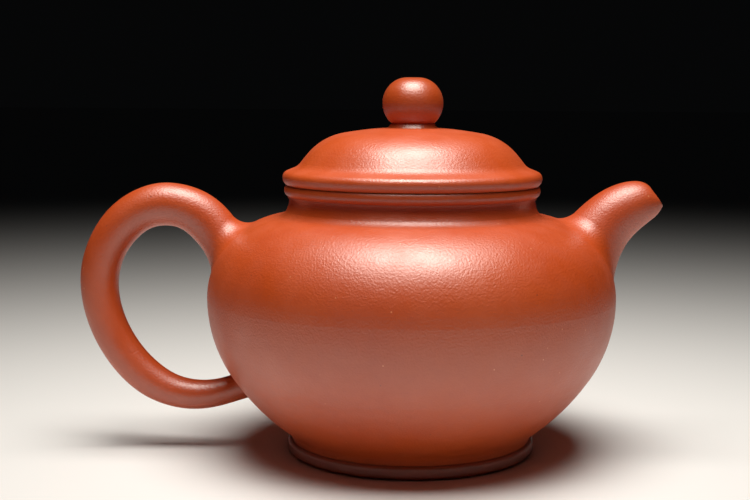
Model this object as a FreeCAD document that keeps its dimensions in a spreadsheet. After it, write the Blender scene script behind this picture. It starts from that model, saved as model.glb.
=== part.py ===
import FreeCAD, Part
import collections
import math
import os

import Sketcher
from FreeCAD import Placement, Rotation, Vector

# A round clay teapot with a lift-off lid, as the pieces that a potter makes and lutes together.
# Millimetres and degrees. The origin is the middle of the foot on the table.
# +Z is up, the spout points to +X and the handle to -X.

SIZES = {
    # Foot ring, and the floor disc, which is set inside the turned-in lower edge of the wall
    "foot_diameter": 62.0,
    "foot_height": 3.2,
    "foot_width": 4.6,
    "foot_rounding": 0.9,
    "base_ledge": 6.0,
    "base_thickness": 3.0,
    # Body wall: a waist just inside the foot's edge, a short flare over it, and the round belly
    "wall": 3.0,
    "waist_inset": 1.0,
    "flare_run": 2.0,
    "flare_rise": 2.8,
    "belly_diameter": 102.0,
    "belly_height": 39.0,
    "shoulder_rise": 20.4,
    "shoulder_width": 2.8,
    # Where the belly bends in more sharply below its middle, as shares of the way from there to the flare
    "lower_tuck_share": 0.3026316,
    "lower_drop_share": 0.5757576,
    # How deep the wide feet of the spout and the handle are sunk in the body, at their edges
    "root_sink": 0.6,
    # Neck, from the bore outwards
    "mouth_diameter": 54.0,
    "neck_wall": 3.6,
    "neck_flare": 1.6,
    "neck_height": 4.4,
    # Mouth ring: a thin step, then a roll
    "ring_step": 0.35,
    "ring_step_height": 0.45,
    "ring_bulge": 0.95,
    "ring_lower_height": 1.5,
    "ring_upper_height": 1.15,
    "ring_turn_in": 0.4,
    # Spout: where it leaves the shoulder, how far it goes from there, and how thick it is on the way
    "spout_angle": 43.9,
    "spout_foot_diameter": 25.0,
    "spout_rise": 62.3,
    "spout_run": 16.0,
    "spout_lift": 10.6,
    "spout_mouth_tilt": 30.0,
    "spout_collar_diameter": 15.2,
    "spout_middle_diameter": 13.4,
    "spout_nose_diameter": 10.8,
    "spout_mouth_diameter": 6.4,
    "spout_wall": 2.1,
    "spout_lip": 0.6,
    "spout_hole_depth": 3.0,
    # Strainer dome over the spout's hole
    "strainer_seat": 3.1,
    "strainer_wall": 1.6,
    "strainer_hole": 1.7,
    "strainer_margin": 1.7,
    "strainer_pitch": 2.6,
    # Handle: where it leaves the shoulder, its four bends one after another, and its thickness between them
    "handle_root_angle": 43.0,
    "handle_foot_diameter": 20.0,
    "handle_start_run": 4.8,
    "handle_start_rise": 3.6,
    "handle_start_course": 130.0,
    "handle_top_bend": 14.4,
    "handle_top_turn": 89.0,
    "handle_back_bend": 22.0,
    "handle_back_turn": 60.0,
    "handle_side_bend": 32.9,
    "handle_side_turn": 39.0,
    "handle_tail_bend": 20.9,
    "handle_tail_turn": 56.0,
    "handle_tail_drop": 3.6,
    "handle_tail_depth": 10.0,
    "handle_tail_foot_diameter": 9.4,
    "handle_root_thickness": 11.2,
    "handle_top_thickness": 10.2,
    "handle_back_thickness": 9.3,
    "handle_side_thickness": 8.9,
    "handle_tail_thickness": 6.9,
    # Lid, stepped inwards and upwards from its widest edge; runs go inwards and rises upwards
    "lid_overhang": 0.4,
    "lid_edge_height": 2.0,
    "lid_sole_inset": 1.2,
    "lid_edge_run": 1.0,
    "lid_edge_rise": 1.5,
    "lid_brim_run": 1.6,
    "lid_brim_rise": 0.65,
    "lid_hollow_run": 1.9,
    "lid_hollow_rise": 1.4,
    "lid_flank_run": 1.8,
    "lid_flank_rise": 2.25,
    "lid_dome_run": 8.8,
    "lid_dome_rise": 5.1,
    "lid_crown_rise": 1.35,
    "lid_wall": 3.0,
    # Flange under the lid, which drops into the mouth
    "flange_clearance": 0.3,
    "flange_thickness": 2.6,
    "flange_depth": 9.5,
    "flange_rounding": 0.8,
    # Knob, from its seat on the lid upwards
    "knob_diameter": 15.1,
    "knob_waist_inset": 2.15,
    "stem_flare": 0.75,
    "stem_height": 1.2,
    "knob_lower_height": 4.85,
    "knob_upper_height": 4.8,
    "knob_brow_inset": 2.1,
    "knob_cap_height": 1.55,
    # Air hole through the knob and the lid, which widens downwards
    "vent_top_diameter": 2.2,
    "vent_seat_diameter": 3.2,
    "vent_foot_diameter": 4.0,
}

# How many rings the handle's rod is lofted through along each bend
HANDLE_RING_COUNTS = {"top": 4, "back": 3, "side": 2, "tail": 3}

# Places along the spout's arc, as shares of its length: just above the root, in the middle, at the nose, at
# the mouth and past it
SPOUT_COLLAR, SPOUT_MIDDLE, SPOUT_NOSE, SPOUT_MOUTH, SPOUT_PAST = 0.15, 0.5, 0.8, 1.0, 1.15

# Holes in each circle of the strainer, from the outer circle inwards
STRAINER_HOLE_COUNTS = [12, 6]
TOUCH = 0.001

doc = FreeCAD.newDocument("teapot")
sheet = doc.addObject("Spreadsheet::Sheet", "sizes")
for row, (alias, value) in enumerate(SIZES.items(), start=1):
    sheet.set(f"A{row}", str(value))
    sheet.setAlias(f"A{row}", alias)
doc.recompute()


class Size:
    """A size of the pot: its number now, and the sheet expression that keeps it bound."""

    def __init__(self, number, write=None):
        self.number = float(number)
        self.write = write or (lambda: f"({self.number!r})")

    @property
    def text(self):
        return self.write()

    def __add__(self, other):
        other = as_size(other)
        return Size(self.number + other.number, lambda: f"({self.text} + {other.text})")

    def __sub__(self, other):
        other = as_size(other)
        return Size(self.number - other.number, lambda: f"({self.text} - {other.text})")

    def __mul__(self, other):
        other = as_size(other)
        return Size(self.number * other.number, lambda: f"({self.text} * {other.text})")

    def __truediv__(self, other):
        other = as_size(other)
        return Size(self.number / other.number, lambda: f"({self.text} / {other.text})")

    def __neg__(self):
        return Size(-self.number, lambda: f"(0 - {self.text})")

    def __abs__(self):
        return Size(abs(self.number), lambda: f"abs({self.text})")

    def root(self):
        return Size(math.sqrt(self.number), lambda: f"sqrt({self.text})")


def as_size(value):
    return value if isinstance(value, Size) else Size(value)


def size(alias):
    return Size(sheet.get(alias), lambda: f"sizes.{alias}")


def half(alias):
    return size(alias) / 2


def degrees(number):
    return Size(number, lambda: f"({float(number)!r} * 1 deg)")


def angle(alias):
    return Size(sheet.get(alias), lambda: f"(sizes.{alias} * 1 deg)")


def sine(turn):
    return Size(math.sin(math.radians(turn.number)), lambda: f"sin({turn.text})")


def cosine(turn):
    return Size(math.cos(math.radians(turn.number)), lambda: f"cos({turn.text})")


def heading(across, up):
    """The angle above +X of a line that goes so far across and so far up."""
    course = math.degrees(math.atan2(up.number, across.number))
    return Size(course, lambda: f"atan2({up.text}; {across.text})")


# Arcs of a half profile. A point is (radius, height). The tie says what fixes an arc between its two ends:
# its centre is level with one end, it goes on smoothly from the edge before it, its centre is on the pot's
# axis, or its radius is given.

Arc = collections.namedtuple("Arc", "centre radius tie")


def arc_leaving_upright(start, end):
    """The arc that leaves start straight up or down and reaches end."""
    run = start[0] - end[0]
    rise = end[1] - start[1]
    radius = (run * run + rise * rise) / (run * 2)
    return Arc((start[0] - radius, start[1]), abs(radius), "level")


def arc_going_on(arc, start, end):
    """The arc that goes on smoothly from the given arc at start, and reaches end."""
    inward = [(middle - place) / arc.radius for middle, place in zip(arc.centre, start)]
    run = end[0] - start[0]
    rise = end[1] - start[1]
    reach = (run * run + rise * rise) / ((run * inward[0] + rise * inward[1]) * 2)
    return Arc((start[0] + inward[0] * reach, start[1] + inward[1] * reach), abs(reach), "smooth")


def arc_on_axis(start, end):
    """The arc through start and end whose centre is on the pot's axis."""
    squares = end[0] * end[0] + end[1] * end[1] - start[0] * start[0] - start[1] * start[1]
    height = squares / ((end[1] - start[1]) * 2)
    rise = start[1] - height
    return Arc((Size(0), height), (start[0] * start[0] + rise * rise).root(), "axis")


def shrunk(arc, depth):
    """An arc about the same centre, smaller by a depth."""
    return Arc(arc.centre, arc.radius - depth, "radius")


def inset(point, arc, depth):
    """The point of an arc, moved towards the arc's centre."""
    share = depth / arc.radius
    return tuple(place + (middle - place) * share for middle, place in zip(arc.centre, point))


def top_of_arc(arc, radius):
    """The point on the upper half of an arc at a distance from the pot's axis."""
    run = radius - arc.centre[0]
    return radius, arc.centre[1] + (arc.radius * arc.radius - run * run).root()


def side_of_arc(arc, height):
    """The point on the outer half of an arc at a height."""
    rise = height - arc.centre[1]
    return arc.centre[0] + (arc.radius * arc.radius - rise * rise).root(), height


def sunk(arc, diameter, depth):
    """The arc on which a flat round foot is centred, so that its edge is at a depth under the given arc."""
    reach = arc.radius - depth
    return Arc(arc.centre, (reach * reach - diameter * diameter / 4).root(), "radius")


def point_of_arc(arc, turn):
    """The point of an arc at an angle above +X."""
    return arc.centre[0] + arc.radius * cosine(turn), arc.centre[1] + arc.radius * sine(turn)


# Sketches and features


def origin_plane(body, role):
    return next(plane for plane in body.Origin.OriginFeatures if plane.Role == role)


def new_sketch(body, name, role):
    sketch = body.newObject("Sketcher::SketchObject", name)
    sketch.AttachmentSupport = [(origin_plane(body, role), "")]
    sketch.MapMode = "FlatFace"
    return sketch


def bind(sketch, constraint, value):
    index = sketch.addConstraint(constraint)
    sketch.setExpression(f"Constraints[{index}]", value.text)


def bind_point(sketch, edge, end, point):
    """Ties an edge's end to a point of the sheet, or to an axis where a coordinate is nought."""
    for kind, axis, value in (("DistanceX", -2, point[0]), ("DistanceY", -1, point[1])):
        if value.number == 0:
            sketch.addConstraint(Sketcher.Constraint("PointOnObject", edge, end, axis))
        else:
            bind(sketch, Sketcher.Constraint(kind, -1, 1, edge, end, value.number), value)


def flat(point):
    return Vector(point[0].number, point[1].number, 0)


def draw_arc(sketch, start, end, arc):
    """Draws the shorter arc from start to end, and says which of its ends is its first."""
    centre = flat(arc.centre)
    angles = [math.atan2(place.y - centre.y, place.x - centre.x) for place in (flat(start), flat(end))]
    turn = (angles[1] - angles[0]) % (2 * math.pi)
    first, last = (1, 2) if turn < math.pi else (2, 1)
    if first == 2:
        angles.reverse()
    circle = Part.Circle(centre, Vector(0, 0, 1), arc.radius.number)
    edge = sketch.addGeometry(Part.ArcOfCircle(circle, angles[0], angles[1]))
    if arc.tie == "level":
        upright = first if abs(start[1].number - centre.y) < abs(end[1].number - centre.y) else last
        sketch.addConstraint(Sketcher.Constraint("Horizontal", edge, 3, edge, upright))
    if arc.tie == "axis":
        sketch.addConstraint(Sketcher.Constraint("PointOnObject", edge, 3, -2))
    if arc.tie == "radius":
        bind(sketch, Sketcher.Constraint("Radius", edge, arc.radius.number), arc.radius)
    return edge, first, last


def draw_profile(body, corners):
    """Draws a closed half profile through corners of (point, arc to the next corner or None)."""
    sketch = new_sketch(body, f"{body.Name}_profile", "XZ_Plane")
    edges = []
    for index, (start, arc) in enumerate(corners):
        end = corners[(index + 1) % len(corners)][0]
        if arc:
            edges.append(draw_arc(sketch, start, end, arc))
        else:
            edges.append((sketch.addGeometry(Part.LineSegment(flat(start), flat(end))), 1, 2))
    for index, (edge, first, _) in enumerate(edges):
        before, _, last = edges[index - 1]
        point, arc = corners[index]
        kind = "Tangent" if arc and arc.tie == "smooth" else "Coincident"
        sketch.addConstraint(Sketcher.Constraint(kind, before, last, edge, first))
        bind_point(sketch, edge, first, point)
    return sketch


def turned(name, corners):
    """A body turned about the pot's axis."""
    body = doc.addObject("PartDesign::Body", name)
    profile = draw_profile(body, corners)
    turn = body.newObject("PartDesign::Revolution", f"{name}_turn")
    turn.Profile = profile
    turn.ReferenceAxis = (profile, ["V_Axis"])
    turn.Angle = 360
    doc.recompute()
    return body


def round_rims(body, rims, alias):
    """Rounds the circular edges of a turned body that pass through the given points."""
    names = []
    for number, edge in enumerate(body.Tip.Shape.Edges, start=1):
        if not isinstance(edge.Curve, Part.Circle):
            continue
        place = Vector(edge.Curve.Radius, edge.Curve.Center.z, 0)
        if any(place.distanceToPoint(flat(rim)) < TOUCH for rim in rims):
            names.append(f"Edge{number}")
    base = body.Tip
    fillet = body.newObject("PartDesign::Fillet", f"{body.Name}_rounding")
    fillet.Base = (base, names)
    fillet.setExpression("Radius", f"sizes.{alias}")
    doc.recompute()


def place_on_xz(thing, centre, turn):
    """Binds a thing's place in the XZ plane, with its own Z axis turned from +Z towards +X."""
    thing.Placement = Placement(Vector(), Rotation(Vector(0, 1, 0), 90))
    thing.setExpression("Placement.Base.x", centre[0].text)
    thing.setExpression("Placement.Base.z", centre[1].text)
    thing.setExpression("Placement.Rotation.Angle", turn.text)


def ring(name, centre, course, diameter):
    """A circle square to a course, which is an angle above +X in the XZ plane."""
    circle = doc.addObject("Part::Circle", name)
    circle.setExpression("Radius", (diameter / 2).text)
    place_on_xz(circle, centre, degrees(90) - course)
    return circle


def loft(name, rings):
    tube = doc.addObject("Part::Loft", name)
    tube.Sections = rings
    tube.Solid = True
    return tube


def joined(kind, name, base, tool):
    """A Part::Fuse or Part::Cut of two objects."""
    result = doc.addObject(kind, name)
    result.Base = base
    result.Tool = tool
    doc.recompute()
    return result


# Body form: the outside of the belly and the shoulder as one turned solid, which the spout and handle fit

foot_top = size("foot_height")
foot_outer = half("foot_diameter")
wall = size("wall")
mouth = half("mouth_diameter")
belly = (half("belly_diameter"), size("belly_height"))
neck = (mouth + size("neck_wall") + size("neck_flare"), belly[1] + size("shoulder_rise"))
waist = (foot_outer - size("waist_inset"), foot_top)
flare = (waist[0] + size("flare_run"), foot_top + size("flare_rise"))
lower = (
    belly[0] - (belly[0] - flare[0]) * size("lower_tuck_share"),
    belly[1] - (belly[1] - flare[1]) * size("lower_drop_share"),
)

shoulder_arc = arc_leaving_upright(belly, neck)
lower_arc = arc_leaving_upright(belly, lower)
under_arc = arc_going_on(lower_arc, lower, flare)
flare_arc = arc_going_on(under_arc, flare, waist)
outside = [(belly, lower_arc), (lower, under_arc), (flare, flare_arc), (waist, None)]

body_top = shoulder_arc.centre[1] + shoulder_arc.radius
body_form = turned("body_form", outside + [
    ((Size(0), foot_top), None),
    ((Size(0), body_top), None),
    ((shoulder_arc.centre[0], body_top), shoulder_arc),
])

# Foot ring: a low ring with rounded edges

foot_inner = foot_outer - size("foot_width")
foot_ring = turned("foot_ring", [
    ((foot_outer, Size(0)), None),
    ((foot_outer, foot_top), None),
    ((foot_inner, foot_top), None),
    ((foot_inner, Size(0)), None),
])
foot_rims = [(foot_outer, Size(0)), (foot_outer, foot_top), (foot_inner, Size(0))]
round_rims(foot_ring, foot_rims, "foot_rounding")

# Base disc: the floor, set into the turned-in lower edge of the wall

base_edge = waist[0] - size("base_ledge")
floor = foot_top + size("base_thickness")
base_disc = doc.addObject("Part::Cylinder", "base_disc")
base_disc.setExpression("Radius", base_edge.text)
base_disc.setExpression("Height", "sizes.base_thickness")
base_disc.setExpression("Placement.Base.z", foot_top.text)

# Belly wall and shoulder disc: one even wall, parted by a seam square to its surface

seam = top_of_arc(shoulder_arc, neck[0] + size("shoulder_width"))
inner_shoulder_arc = shrunk(shoulder_arc, wall)
inner_seam = inset(seam, shoulder_arc, wall)
inner_under_arc = shrunk(under_arc, wall)
belly_turned = turned("belly_turned", outside + [
    ((base_edge, foot_top), None),
    ((base_edge, floor), None),
    (side_of_arc(inner_under_arc, floor), inner_under_arc),
    (inset(lower, lower_arc, wall), shrunk(lower_arc, wall)),
    ((belly[0] - wall, belly[1]), inner_shoulder_arc),
    (inner_seam, None),
    (seam, shoulder_arc),
])

inner_neck = top_of_arc(inner_shoulder_arc, neck[0])
shoulder_turned = turned("shoulder_turned", [
    (seam, shrunk(shoulder_arc, 0)),
    (neck, None),
    (inner_neck, inner_shoulder_arc),
    (inner_seam, None),
])

# Neck collar: set into the shoulder disc, hollow sided, with a straight bore

neck_top = neck[1] + size("neck_height")
throat = (mouth + size("neck_wall"), neck_top)
neck_collar = turned("neck_collar", [
    (throat, arc_leaving_upright(throat, neck)),
    (neck, None),
    (inner_neck, None),
    ((mouth, inner_neck[1]), None),
    ((mouth, neck_top), None),
])

# Mouth ring: a rounded roll over a thin step, with a flat top for the lid

ring_step = (throat[0] + size("ring_step"), neck_top + size("ring_step_height"))
ring_bulge = (ring_step[0] + size("ring_bulge"), ring_step[1] + size("ring_lower_height"))
ring_top = (ring_bulge[0] - size("ring_turn_in"), ring_bulge[1] + size("ring_upper_height"))
seat = ring_top[1]
mouth_ring = turned("mouth_ring", [
    ((ring_step[0], neck_top), None),
    (ring_step, arc_leaving_upright(ring_bulge, ring_step)),
    (ring_bulge, arc_leaving_upright(ring_bulge, ring_top)),
    (ring_top, None),
    ((mouth, seat), None),
    ((mouth, neck_top), None),
])

# Spout: lofted from a wide foot sunk in the shoulder, along an arc that rises steeply and bends outwards.
# The foot gives it a root that flares into the body, and the narrow mouth a lip that curves in to the bore.

spout_angle = angle("spout_angle")
spout_root = point_of_arc(shoulder_arc, spout_angle)
spout_rise = angle("spout_rise")
spout_run = (size("spout_run"), size("spout_lift"))
spout_chord = heading(*spout_run)
spout_square = (sine(spout_rise), -cosine(spout_rise))
spout_bend = (spout_run[0] * spout_run[0] + spout_run[1] * spout_run[1]) / (
    (spout_run[0] * spout_square[0] + spout_run[1] * spout_square[1]) * 2)
spout_centre = (
    spout_root[0] + spout_square[0] * spout_bend,
    spout_root[1] + spout_square[1] * spout_bend,
)


def spout_ring(name, share, diameter):
    """A circle across the spout's arc; from the mouth on it is tilted up, as the mouth is."""
    course = spout_rise + (spout_chord - spout_rise) * (2 * share)
    place = (
        spout_centre[0] - spout_bend * sine(course),
        spout_centre[1] + spout_bend * cosine(course),
    )
    if share >= SPOUT_MOUTH:
        course = course + angle("spout_mouth_tilt")
    return ring(name, place, course, diameter)


spout_diameters = {
    SPOUT_COLLAR: size("spout_collar_diameter"),
    SPOUT_MIDDLE: size("spout_middle_diameter"),
    SPOUT_NOSE: size("spout_nose_diameter"),
    SPOUT_MOUTH: size("spout_mouth_diameter"),
}
spout_walls = {SPOUT_COLLAR: "spout_wall", SPOUT_MIDDLE: "spout_wall", SPOUT_MOUTH: "spout_lip"}
bore_diameters = {place: spout_diameters[place] - size(alias) * 2 for place, alias in spout_walls.items()}
bore_diameters[SPOUT_PAST] = bore_diameters[SPOUT_MOUTH]

spout_foot_diameter = size("spout_foot_diameter")
spout_foot = point_of_arc(sunk(shoulder_arc, spout_foot_diameter, size("root_sink")), spout_angle)
spout_rings = [ring("spout_foot", spout_foot, spout_angle, spout_foot_diameter)]
for number, (place, diameter) in enumerate(spout_diameters.items(), start=1):
    spout_rings.append(spout_ring(f"spout_ring_{number}", place, diameter))
spout_outside = loft("spout_outside", spout_rings)

bore_start = point_of_arc(shrunk(shoulder_arc, wall + size("spout_hole_depth")), spout_angle)
bore_rings = [ring("spout_bore_start", bore_start, spout_angle, bore_diameters[SPOUT_COLLAR])]
for number, (place, diameter) in enumerate(bore_diameters.items(), start=1):
    bore_rings.append(spout_ring(f"spout_bore_ring_{number}", place, diameter))
spout_bore = loft("spout_bore", bore_rings)

spout_free = joined("Part::Cut", "spout_free", spout_outside, body_form)
spout = joined("Part::Cut", "spout", spout_free, spout_bore)

# The spout's hole goes on through the wall

belly_wall = joined("Part::Cut", "belly_wall", belly_turned, spout_bore)
shoulder_disc = joined("Part::Cut", "shoulder_disc", shoulder_turned, spout_bore)

# Strainer: a pierced dome over the spout's hole, bulging into the pot, with its rim trimmed to the walls

dome_outer = bore_diameters[SPOUT_COLLAR] / 2 + size("strainer_seat")
dome_inner = dome_outer - size("strainer_wall")
dome_centre = (Size(0), Size(0))
strainer_dome = turned("strainer_dome", [
    ((Size(0), dome_outer), Arc(dome_centre, dome_outer, "axis")),
    ((dome_outer, Size(0)), None),
    ((dome_inner, Size(0)), Arc(dome_centre, dome_inner, "axis")),
    ((Size(0), dome_inner), None),
])


def pierce(name, distance):
    """A hole through the dome, parallel to the dome's axis."""
    sketch = new_sketch(strainer_dome, f"{name}_sketch", "XY_Plane")
    radius = half("strainer_hole")
    circle = sketch.addGeometry(Part.Circle(Vector(distance.number, 0, 0), Vector(0, 0, 1), radius.number))
    bind(sketch, Sketcher.Constraint("Radius", circle, radius.number), radius)
    bind_point(sketch, circle, 3, (distance, Size(0)))
    hole = strainer_dome.newObject("PartDesign::Pocket", name)
    hole.Profile = sketch
    hole.Type = "ThroughAll"
    hole.Reversed = True
    doc.recompute()
    return hole


pierce("strainer_middle_hole", Size(0))
circle_radius = dome_inner - size("strainer_margin")
for count in STRAINER_HOLE_COUNTS:
    hole = pierce(f"strainer_hole_of_{count}", circle_radius)
    circle_radius = circle_radius - size("strainer_pitch")
    pattern = strainer_dome.newObject("PartDesign::PolarPattern", f"strainer_pattern_of_{count}")
    pattern.Originals = [hole]
    pattern.Axis = (hole.Profile[0], ["N_Axis"])
    pattern.Angle = 360
    pattern.Occurrences = count
    strainer_dome.Tip = pattern
    doc.recompute()

place_on_xz(strainer_dome, point_of_arc(inner_shoulder_arc, spout_angle), degrees(270) - spout_angle)
doc.recompute()
strainer_trimmed = joined("Part::Cut", "strainer_trimmed", strainer_dome, belly_turned)
strainer_seated = joined("Part::Cut", "strainer_seated", strainer_trimmed, shoulder_turned)
strainer = joined("Part::Cut", "strainer", strainer_seated, neck_collar)

# Handle: a round rod of four bends, thick at the top and thin at the tail, from a wide foot in the shoulder

root_angle = angle("handle_root_angle")
handle_foot_diameter = size("handle_foot_diameter")
handle_foot = point_of_arc(sunk(shoulder_arc, handle_foot_diameter, size("root_sink")), root_angle)
handle_root = point_of_arc(shoulder_arc, root_angle)
tail_root = (size("handle_tail_depth") - lower[0], lower[1] - size("handle_tail_drop"))

rod_end = (-handle_root[0] - size("handle_start_run"), handle_root[1] + size("handle_start_rise"))
rod_course = angle("handle_start_course")
rod_thickness = size("handle_root_thickness")
rod_rings = [
    ring("handle_foot", (-handle_foot[0], handle_foot[1]), degrees(180) - root_angle, handle_foot_diameter),
    ring("handle_start", rod_end, rod_course, rod_thickness),
]
for bend_name, count in HANDLE_RING_COUNTS.items():
    bend = size(f"handle_{bend_name}_bend")
    bend_end = size(f"handle_{bend_name}_thickness")
    bend_centre = (rod_end[0] - bend * sine(rod_course), rod_end[1] + bend * cosine(rod_course))
    for number in range(1, count + 1):
        course = rod_course + angle(f"handle_{bend_name}_turn") * (number / count)
        rod_end = (bend_centre[0] + bend * sine(course), bend_centre[1] - bend * cosine(course))
        thickness = rod_thickness + (bend_end - rod_thickness) * (number / count)
        rod_rings.append(ring(f"handle_{bend_name}_ring_{number}", rod_end, course, thickness))
    rod_course = course
    rod_thickness = bend_end
tail_course = heading(tail_root[0] - rod_end[0], tail_root[1] - rod_end[1])
rod_rings.append(ring("handle_tail_root", tail_root, tail_course, size("handle_tail_foot_diameter")))

handle_rod = loft("handle_rod", rod_rings)
handle = joined("Part::Cut", "handle", handle_rod, body_form)

# Lid rim: the rounded ring under the dome's edge, flat where it sits on the mouth ring

flange_outer = mouth - size("flange_clearance")
flange_inner = flange_outer - size("flange_thickness")
lid_edge = (ring_bulge[0] + size("lid_overhang"), seat + size("lid_edge_height"))
lid_sole = (lid_edge[0] - size("lid_sole_inset"), seat)
lid_rim = turned("lid_rim", [
    (lid_edge, arc_leaving_upright(lid_edge, lid_sole)),
    (lid_sole, None),
    ((flange_inner, seat), None),
    ((flange_inner, lid_edge[1]), None),
])

# Lid dome: an even crown, a steep flank, a hollow and a brim, all in smooth arcs


def step_inwards(point, name):
    return point[0] - size(f"lid_{name}_run"), point[1] + size(f"lid_{name}_rise")


lid_brim = step_inwards(lid_edge, "edge")
lid_hollow = step_inwards(lid_brim, "brim")
lid_flank = step_inwards(lid_hollow, "hollow")
lid_shoulder = step_inwards(lid_flank, "flank")
lid_crown = step_inwards(lid_shoulder, "dome")
knob_waist_radius = half("knob_diameter") - size("knob_waist_inset")
stem = (knob_waist_radius + size("stem_flare"), lid_crown[1] + size("lid_crown_rise"))

crown_arc = arc_on_axis(stem, lid_crown)
dome_arc = arc_going_on(crown_arc, lid_crown, lid_shoulder)
flank_arc = arc_going_on(dome_arc, lid_shoulder, lid_flank)
hollow_arc = arc_going_on(flank_arc, lid_flank, lid_hollow)
brim_arc = arc_going_on(hollow_arc, lid_hollow, lid_brim)
edge_arc = arc_going_on(brim_arc, lid_brim, lid_edge)

lid_wall = size("lid_wall")
vent_seat = (half("vent_seat_diameter"), stem[1])
vent_foot = (half("vent_foot_diameter"), stem[1] - lid_wall)
lid_inside = (lid_shoulder[0] - lid_wall, lid_shoulder[1] - lid_wall)
lid_dome = turned("lid_dome", [
    (stem, crown_arc),
    (lid_crown, dome_arc),
    (lid_shoulder, flank_arc),
    (lid_flank, hollow_arc),
    (lid_hollow, brim_arc),
    (lid_brim, edge_arc),
    (lid_edge, None),
    ((flange_inner, lid_edge[1]), None),
    (lid_inside, arc_on_axis(vent_foot, lid_inside)),
    (vent_foot, None),
    (vent_seat, None),
])

# Lid flange: the wall under the lid that keeps it in the mouth

flange_foot = seat - size("flange_depth")
lid_flange = turned("lid_flange", [
    ((flange_outer, seat), None),
    ((flange_outer, flange_foot), None),
    ((flange_inner, flange_foot), None),
    ((flange_inner, seat), None),
])
round_rims(lid_flange, [(flange_outer, flange_foot), (flange_inner, flange_foot)], "flange_rounding")

# Knob: a ball on a small collar, pierced by the air hole

knob_waist = (knob_waist_radius, stem[1] + size("stem_height"))
knob_middle = (half("knob_diameter"), knob_waist[1] + size("knob_lower_height"))
knob_brow = (knob_middle[0] - size("knob_brow_inset"), knob_middle[1] + size("knob_upper_height"))
knob_top = (half("vent_top_diameter"), knob_brow[1] + size("knob_cap_height"))
upper_knob_arc = arc_leaving_upright(knob_middle, knob_brow)
knob = turned("knob", [
    (stem, None),
    (knob_waist, arc_leaving_upright(knob_middle, knob_waist)),
    (knob_middle, upper_knob_arc),
    (knob_brow, arc_going_on(upper_knob_arc, knob_brow, knob_top)),
    (knob_top, None),
    (vent_seat, None),
])

# Check everything, then write one file for each piece

pieces = [
    foot_ring, base_disc, belly_wall, shoulder_disc, neck_collar, mouth_ring,
    spout, strainer, handle, lid_rim, lid_dome, lid_flange, knob,
]
doc.recompute()
for thing in doc.Objects:
    if "Invalid" in thing.State or "Error" in thing.State:
        raise RuntimeError(f"{thing.Label} failed: {thing.State}")
for piece in pieces:
    if piece.Shape.isNull() or not piece.Shape.isValid() or not piece.Shape.Solids:
        raise RuntimeError(f"{piece.Label} has no valid solid")

os.makedirs("parts", exist_ok=True)
for piece in pieces:
    piece.Shape.exportStep(f"parts/{piece.Label}.step")
    print(f"{piece.Label}: {piece.Shape.Volume / 1000:.2f} cm3, {len(piece.Shape.Solids)} solid")
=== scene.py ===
import math

import bpy
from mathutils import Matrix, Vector
from mathutils.bvhtree import BVHTree
from mathutils.geometry import barycentric_transform


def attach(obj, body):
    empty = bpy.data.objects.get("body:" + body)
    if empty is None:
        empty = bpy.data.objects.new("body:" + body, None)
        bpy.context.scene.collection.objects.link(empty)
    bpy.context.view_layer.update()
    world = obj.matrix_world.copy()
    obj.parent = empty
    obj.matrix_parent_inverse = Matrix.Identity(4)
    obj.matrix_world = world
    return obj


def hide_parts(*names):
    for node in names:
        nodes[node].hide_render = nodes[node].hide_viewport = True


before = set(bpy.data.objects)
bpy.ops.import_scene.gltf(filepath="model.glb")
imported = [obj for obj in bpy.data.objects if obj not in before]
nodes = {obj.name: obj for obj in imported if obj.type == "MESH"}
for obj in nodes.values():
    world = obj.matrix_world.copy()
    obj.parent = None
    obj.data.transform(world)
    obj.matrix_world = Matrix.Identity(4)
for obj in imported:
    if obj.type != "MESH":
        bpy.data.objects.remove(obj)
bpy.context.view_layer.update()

# Foot ring
# A low ring of the same clay, thrown apart and luted under the base. It is wiped with a wet sponge, so that
# it is duller than the wall, and its sole is rubbed flat and bare. Its colour is darkened as painted shade.

# Colours of the clay from the kiln's dark to its light clouds, each with its place on a scale from 0 to 1
CLAY_STOPS = (
    (0.45, (0.425, 0.049, 0.004, 1.0)),
    (0.72, (0.480, 0.061, 0.006, 1.0)),
    (0.98, (0.520, 0.074, 0.009, 1.0)),
)
TONE_PULL = 0.2

# Pale and dark sand: cells to the metre, how far a grain reaches in its cell, colour
SANDS = (
    (1150.0, 0.255, (0.720, 0.250, 0.110, 1.0)),
    (900.0, 0.225, (0.230, 0.035, 0.010, 1.0)),
)
BARE_CELLS = 0.994

# Patterns in the clay, in waves to the metre, and the shares at which the finer ones are added
CLOUD_SCALE = 26.0
MOTTLE_SCALE = 420.0
MOTTLE_SHARE = 0.35
SKIN_SCALE = 1950.0
TOOTH_SCALE = 4200.0
TOOTH_SHARE = 0.3
TURNING_SCALE = (22.0, 22.0, 900.0)
GLOSS_SCALE = 140.0

# How high the skin's grains stand, how far the roughness swings, and the noise between which it does so
SKIN_HEIGHT = 0.000095
GLOSS_SWING = 0.05
NOISE_LOW = 0.3
NOISE_HIGH = 0.7

# The colour sockets of a mix node, which share their names with those of other kinds
MIX_UNDER = 6
MIX_OVER = 7
MIX_RESULT = 2


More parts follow.
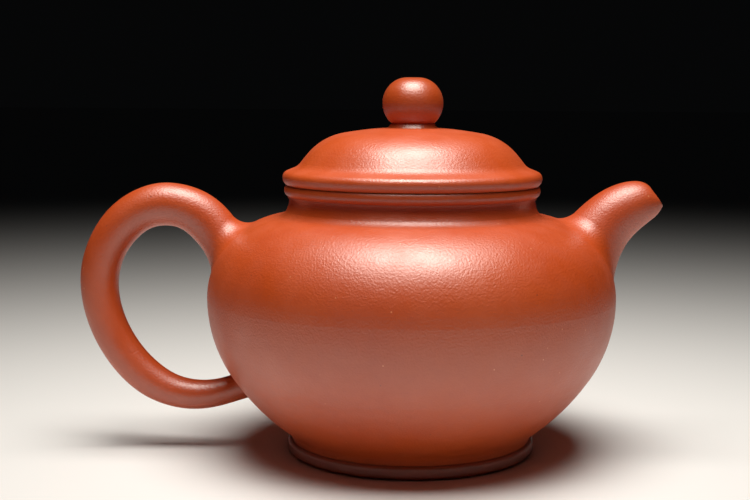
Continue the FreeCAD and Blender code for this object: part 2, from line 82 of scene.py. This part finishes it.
def fired_clay(name, grain=1.0, turning=0.0, roughness=0.42, tone=0.5, shade_depth=1.0):
    """Makes unglazed red clay with sand in it.
    The skin is as coarse as grain says, with turning lines of that strength round the axis. A higher tone
    gives more of the light clay, and the last argument, when below 1, darkens all of it as painted shade."""
    material = bpy.data.materials.new(name)
    material.use_nodes = True
    tree = material.node_tree
    tree.nodes.clear()
    link = tree.links.new

    def add(kind, **settings):
        node = tree.nodes.new(kind)
        for key, value in settings.items():
            setattr(node, key, value)
        return node

    place = add("ShaderNodeTexCoord").outputs["Object"]

    def noise(scale, detail, vector=place):
        node = add("ShaderNodeTexNoise")
        node.inputs["Scale"].default_value = scale
        node.inputs["Detail"].default_value = detail
        link(vector, node.inputs["Vector"])
        return node.outputs["Fac"]

    def with_share(first, second, share):
        node = add("ShaderNodeMath", operation="MULTIPLY_ADD")
        link(second, node.inputs[0])
        node.inputs[1].default_value = share
        link(first, node.inputs[2])
        return node.outputs["Value"]

    # Colour: wide clouds from the kiln, a finer mottle, then grains of sand
    clouds = with_share(noise(CLOUD_SCALE, detail=3.0), noise(MOTTLE_SCALE, detail=4.0), MOTTLE_SHARE)
    ramp = add("ShaderNodeValToRGB")
    stops = ramp.color_ramp.elements
    stops.new(0.5)
    for stop, (position, clay) in zip(stops, CLAY_STOPS):
        stop.position = position - TONE_PULL * tone
        # Painted shade: the last argument darkens every colour of the clay on the pieces that are given it.
        stop.color = [part * shade_depth for part in clay]
    link(clouds, ramp.inputs["Fac"])
    colour = ramp.outputs["Color"]
    for scale, reach, sand in SANDS:
        cells = add("ShaderNodeTexVoronoi")
        cells.inputs["Scale"].default_value = scale
        link(place, cells.inputs["Vector"])
        draw = add("ShaderNodeSeparateColor")
        link(cells.outputs["Color"], draw.inputs["Color"])
        chosen = add("ShaderNodeMath", operation="GREATER_THAN")
        chosen.inputs[1].default_value = BARE_CELLS
        link(draw.outputs["Red"], chosen.inputs[0])
        near = add("ShaderNodeMapRange")
        near.inputs["From Min"].default_value = reach
        near.inputs["From Max"].default_value = reach / 2
        link(cells.outputs["Distance"], near.inputs["Value"])
        spot = add("ShaderNodeMath", operation="MULTIPLY")
        link(near.outputs["Result"], spot.inputs[0])
        link(chosen.outputs["Value"], spot.inputs[1])
        sanded = add("ShaderNodeMix", data_type="RGBA")
        sanded.inputs[MIX_OVER].default_value = sand
        link(spot.outputs["Value"], sanded.inputs["Factor"])
        link(colour, sanded.inputs[MIX_UNDER])
        colour = sanded.outputs[MIX_RESULT]

    # Skin: the pear skin of sandy clay, a fine tooth, and on turned pieces faint lines round the axis
    height = with_share(noise(SKIN_SCALE, detail=2.0), noise(TOOTH_SCALE, detail=2.0), TOOTH_SHARE)
    if turning:
        stretched = add("ShaderNodeMapping")
        stretched.inputs["Scale"].default_value = TURNING_SCALE
        link(place, stretched.inputs["Vector"])
        lines = noise(1.0, detail=2.0, vector=stretched.outputs["Vector"])
        height = with_share(height, lines, turning)
    bump = add("ShaderNodeBump")
    bump.inputs["Strength"].default_value = 1.0
    bump.inputs["Distance"].default_value = SKIN_HEIGHT * grain
    link(height, bump.inputs["Height"])

    # Gloss: satin, uneven where the horn burnisher pressed more or less
    rough = add("ShaderNodeMapRange")
    rough.inputs["From Min"].default_value = NOISE_LOW
    rough.inputs["From Max"].default_value = NOISE_HIGH
    rough.inputs["To Min"].default_value = roughness - GLOSS_SWING
    rough.inputs["To Max"].default_value = roughness + GLOSS_SWING
    link(noise(GLOSS_SCALE, detail=3.0), rough.inputs["Value"])

    shader = add("ShaderNodeBsdfPrincipled")
    shader.inputs["IOR"].default_value = 1.55
    shader.inputs["Specular IOR Level"].default_value = 1.0
    link(colour, shader.inputs["Base Color"])
    link(rough.outputs["Result"], shader.inputs["Roughness"])
    link(bump.outputs["Normal"], shader.inputs["Normal"])
    output = add("ShaderNodeOutputMaterial")
    link(shader.outputs["BSDF"], output.inputs["Surface"])
    return material


def dress(name, material):
    """Gives a carried-over piece its finish."""
    finishes = nodes[name].data.materials
    finishes.clear()
    finishes.append(material)


# Painted shade: the foot ring's clay is darkened for the shadow under the belly.
dress("foot_ring", fired_clay("sponged_clay_painted_shade", grain=0.8, turning=0.5, roughness=0.46, tone=0.3, shade_depth=0.62))

# Base disc
# The floor of the pot, a round slab beaten flat and set inside the lower edge of the wall.
# It is only scraped level, so that it stays rougher than the outside.

dress("base_disc", fired_clay("scraped_clay", grain=1.6, roughness=0.56, tone=0.4))

# Belly wall and shoulder disc
# A strip of beaten clay, closed to a tube and paddled round, and the disc that closes it round the mouth.
# Outside they are burnished with a horn blade, which leaves a satin pear skin and faint level lines.

burnished = fired_clay("burnished_clay", turning=0.25)
dress("belly_wall", burnished)
dress("shoulder_disc", burnished)

# Neck collar and mouth ring
# The short hollow neck and the roll that the lid rests on, both turned on the wheel head with a template,
# then rubbed smooth with wet leather, so that their edges shine a little more. Their colour is darkened a
# little as painted shade, for the shadow under the lid's edge.

smoothed_and_shaded = fired_clay("smoothed_clay_painted_shade", grain=0.7, turning=0.4, roughness=0.38, shade_depth=0.85)
dress("neck_collar", smoothed_and_shaded)
dress("mouth_ring", smoothed_and_shaded)

# Spout and handle
# The spout is rolled round a stick and bent, the handle is a rolled rod bent to an ear. Both are luted to
# the belly, and their roots are drawn out thin over it and burnished, so that no seam shows.

rolled = fired_clay("rolled_clay", grain=0.9)
dress("spout", rolled)
dress("handle", rolled)

# Spout lip
# While the clay is soft the lip is pared and rubbed round with wet leather, which turns its lower edge up.
# The spout's own skin is taken over, and only the last millimetres under its mouth are pressed upwards.

MOUTH_TOP = Vector((0.05946, 0.0, 0.06642))
MOUTH_FOOT = Vector((0.06310, 0.0, 0.06116))
LIP_LIFT = 0.0010
LIP_DEPTH = 0.0035

mouth_height = (MOUTH_FOOT - MOUTH_TOP).length
down_mouth = (MOUTH_FOOT - MOUTH_TOP).normalized()
out_of_mouth = Vector((-down_mouth.z, 0.0, down_mouth.x))
spout_skin = bpy.data.objects.new("spout_skin", nodes["spout"].data.copy())
bpy.context.scene.collection.objects.link(spout_skin)
for vertex in spout_skin.data.vertices:
    offset = vertex.co - MOUTH_TOP
    fall = max(offset.dot(down_mouth) / mouth_height, 0.0)
    nearness = min(max(1.0 + offset.dot(out_of_mouth) / LIP_DEPTH, 0.0), 1.0)
    vertex.co -= down_mouth * LIP_LIFT * (fall * nearness) ** 2
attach(spout_skin, "pot")
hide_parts("spout")

# Joint coils
# A thin coil of soft clay is pressed into the corner round each root and rubbed out with a wooden knife,
# until neck, spout and handle grow out of the belly. Its hollow is that of a ball rolled round the root.

NECK_ROOT = Vector((0.0, 0.0, 0.0594))
SPOUT_ROOT = Vector((0.0454, 0.0, 0.0528))
HANDLE_ROOT = Vector((-0.0457, 0.0, 0.0526))
TAIL_ROOT = Vector((-0.0440, 0.0, 0.0178))
COIL_STEPS = 180
HOLLOW_STEPS = 14
HIDDEN_POINTS = 3
SMOOTHINGS = 6
STRIDE = 0.0001

# Under the skins: how deep the hollow ends, how many radii from the ball the edges reach, and how far the
# back lies behind the corner
HOLLOW_SUNK = 0.00002
EDGE_REACH = 1.08
BACK_SUNK = 0.0004


def skin_of(*names):
    """Gives a function that finds the nearest place on some pieces, and where their skin faces there."""
    corners = []
    facings = []
    faces = []
    for name in names:
        mesh = nodes[name].data
        mesh.calc_loop_triangles()
        for triangle in mesh.loop_triangles:
            faces.append((len(corners), len(corners) + 1, len(corners) + 2))
            corners.extend(mesh.vertices[index].co for index in triangle.vertices)
            facings.extend(mesh.corner_normals[index].vector for index in triangle.loops)
    tree = BVHTree.FromPolygons(corners, faces)

    def nearest(point):
        place, _, index, _ = tree.find_nearest(point)
        face_corners = (corners[corner] for corner in faces[index])
        face_facings = (facings[corner] for corner in faces[index])
        return place, barycentric_transform(place, *face_corners, *face_facings).normalized()

    return nearest


belly = skin_of("belly_wall", "shoulder_disc")


def roll_ball(root, slope, limb_skin, radius, start, reach):
    """Gives the places of a ball that rolls round a root, touching the belly and the limb.
    On each course over the belly, from start to reach away from the root, it settles where it just clears
    the limb. The slope is the angle above +X at which the limb leaves its root."""
    outwards = Vector((math.cos(math.radians(slope)), 0.0, math.sin(math.radians(slope))))
    across = Vector((0.0, 1.0, 0.0))
    upwards = across.cross(outwards).normalized()
    balls = []
    for step in range(COIL_STEPS):
        turn = math.tau * step / COIL_STEPS
        course = upwards * math.cos(turn) + across * math.sin(turn)
        place, facing = belly(root + course * start)
        gone = start
        clearance = -1.0
        while gone < reach:
            along_skin = course - facing * course.dot(facing)
            place, facing = belly(place + along_skin.normalized() * STRIDE)
            gone += STRIDE
            ball = place + facing * radius
            last_clearance = clearance
            clearance = (limb_skin(ball)[0] - ball).length - radius
            if last_clearance < 0.0 <= clearance:
                settled = ball
        balls.append(settled)
    for _ in range(SMOOTHINGS):
        balls = [
            (balls[step - 1] + balls[step] * 2 + balls[(step + 1) % COIL_STEPS]) / 4
            for step in range(COIL_STEPS)
        ]
    return balls


def joint_coil(name, root, slope, limb, radius, start, reach):
    """Presses a ring of clay into the corner between the belly and a limb, hollowed by a rolling ball."""
    limb_skin = skin_of(limb)

    # At each place of the ball: the hollow from belly to limb, then the points hidden under the skins
    places = []
    facings = []
    for ball in roll_ball(root, slope, limb_skin, radius, start, reach):
        to_belly = belly(ball)[0] - ball
        to_limb = limb_skin(ball)[0] - ball
        for step in range(HOLLOW_STEPS + 1):
            share = step / HOLLOW_STEPS
            spoke = to_belly.normalized().slerp(to_limb.normalized(), share)
            length = to_belly.length * (1 - share) + to_limb.length * share + HOLLOW_SUNK
            places.append(ball + spoke * length)
            facings.append(-spoke)
        to_corner = (to_belly.normalized() + to_limb.normalized()).normalized()
        corner_depth = radius / to_corner.dot(to_belly.normalized()) + BACK_SUNK
        for spoke in (to_limb * EDGE_REACH, to_corner * corner_depth, to_belly * EDGE_REACH):
            places.append(ball + spoke)
            facings.append(-spoke.normalized())

    bpy.ops.mesh.primitive_torus_add(
        major_segments=COIL_STEPS,
        minor_segments=HOLLOW_STEPS + 1 + HIDDEN_POINTS,
    )
    coil = bpy.context.active_object
    coil.name = name
    for vertex, place in zip(coil.data.vertices, places):
        vertex.co = place
    bpy.ops.object.mode_set(mode="EDIT")
    bpy.ops.mesh.select_all(action="SELECT")
    bpy.ops.mesh.normals_make_consistent(inside=False)
    bpy.ops.object.mode_set(mode="OBJECT")
    bpy.ops.object.shade_smooth()
    coil.data.normals_split_custom_set_from_vertices(facings)
    coil.data.materials.append(rolled)
    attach(coil, "pot")


joint_coil("neck_coil", NECK_ROOT, slope=90.0, limb="neck_collar", radius=0.0030, start=0.0325, reach=0.0380)
joint_coil("spout_coil", SPOUT_ROOT, slope=43.9, limb="spout", radius=0.0060, start=0.0060, reach=0.0165)
joint_coil("handle_coil", HANDLE_ROOT, slope=137.0, limb="handle", radius=0.0050, start=0.0020, reach=0.0150)
joint_coil("tail_coil", TAIL_ROOT, slope=205.0, limb="handle", radius=0.0010, start=0.0010, reach=0.0100)

# Strainer
# A small dome of clay, pierced with a pointed stick and luted over the spout's hole inside the pot.
# Nobody burnishes it, so that it is the roughest piece.

dress("strainer", fired_clay("pierced_clay", grain=1.8, roughness=0.6, tone=0.45))

# Lid rim, lid dome and lid flange
# The lid is a domed disc on a rounded rim, with a straight wall below that drops into the mouth.
# It is turned with the neck, so that it fits, and burnished like the belly.

lid_finish = fired_clay("lid_clay", grain=0.9, turning=0.3, roughness=0.41)
dress("lid_rim", lid_finish)
dress("lid_dome", lid_finish)
dress("lid_flange", fired_clay("ground_clay", grain=1.2, turning=1.0, roughness=0.5, tone=0.4))

# Knob
# A ball rolled between the palms, luted on a small collar and pierced by the air hole.
# Handling has rubbed it smooth. Its colour is darkened a little as painted shade.

dress("knob", fired_clay("handled_clay_painted_shade", grain=0.7, roughness=0.38, shade_depth=0.80))

# Floor
# A plain pale table top, wide enough to fade away behind the pot.
# It lies a hair below the sole, so that the two faces don't coincide.

FLOOR_WIDTH = 12.0
FLOOR_DROP = 0.0002

bpy.ops.mesh.primitive_plane_add(size=FLOOR_WIDTH, location=(0.0, 0.0, -FLOOR_DROP))
floor = bpy.context.active_object
floor.name = "floor"
paper = bpy.data.materials.new("pale_paper")
paper.use_nodes = True
paper_shader = paper.node_tree.nodes["Principled BSDF"]
paper_shader.inputs["Base Color"].default_value = (0.74, 0.74, 0.735, 1.0)
paper_shader.inputs["Roughness"].default_value = 0.6
floor.data.materials.append(paper)

# Light
# One wide soft box hangs over the pot, and the pale table throws its light back up under the belly.
# The room behind stays dark.

soft_box = bpy.data.lights.new("soft_box", "AREA")
soft_box.shape = "RECTANGLE"
soft_box.size = 0.30
soft_box.size_y = 0.28
soft_box.energy = 1.18
soft_box.spread = math.radians(104.0)
soft_box.color = (1.0, 0.95, 0.88)
soft_box_lamp = bpy.data.objects.new("soft_box", soft_box)
soft_box_lamp.location = (0.0, -0.065, 0.43)
soft_box_lamp.rotation_euler = (math.radians(9.0), 0.0, 0.0)
soft_box_lamp.visible_camera = False
bpy.context.scene.collection.objects.link(soft_box_lamp)

world = bpy.data.worlds.new("dim_room")
world.use_nodes = True
room = world.node_tree.nodes["Background"]
room.inputs["Color"].default_value = (0.9, 0.95, 1.0, 1.0)
room.inputs["Strength"].default_value = 0.002
bpy.context.scene.world = world

# Camera
# A little above the lid's edge and close to the pot, as it was photographed.
# The lens and its shift are measured in the photograph's pixels, the tilt and roll in degrees.

PHOTO_WIDTH = 750
LENS_PIXELS = 1376.9
SHIFT_PIXELS = -36.9
CAMERA_TILT = 6.617
CAMERA_ROLL = 0.402

camera = bpy.data.cameras.new("camera")
camera.sensor_width = 36.0
camera.lens = camera.sensor_width * LENS_PIXELS / PHOTO_WIDTH
camera.shift_x = SHIFT_PIXELS / PHOTO_WIDTH
camera.clip_start = 0.01
camera.clip_end = 100.0
camera_stand = bpy.data.objects.new("camera", camera)
camera_stand.location = (0.0, -0.3434, 0.0904)
camera_stand.rotation_mode = "ZYX"
camera_stand.rotation_euler = (math.radians(90.0 - CAMERA_TILT), 0.0, math.radians(CAMERA_ROLL))
bpy.context.scene.collection.objects.link(camera_stand)
bpy.context.scene.camera = camera_stand
bpy.context.scene.view_settings.view_transform = "Standard"
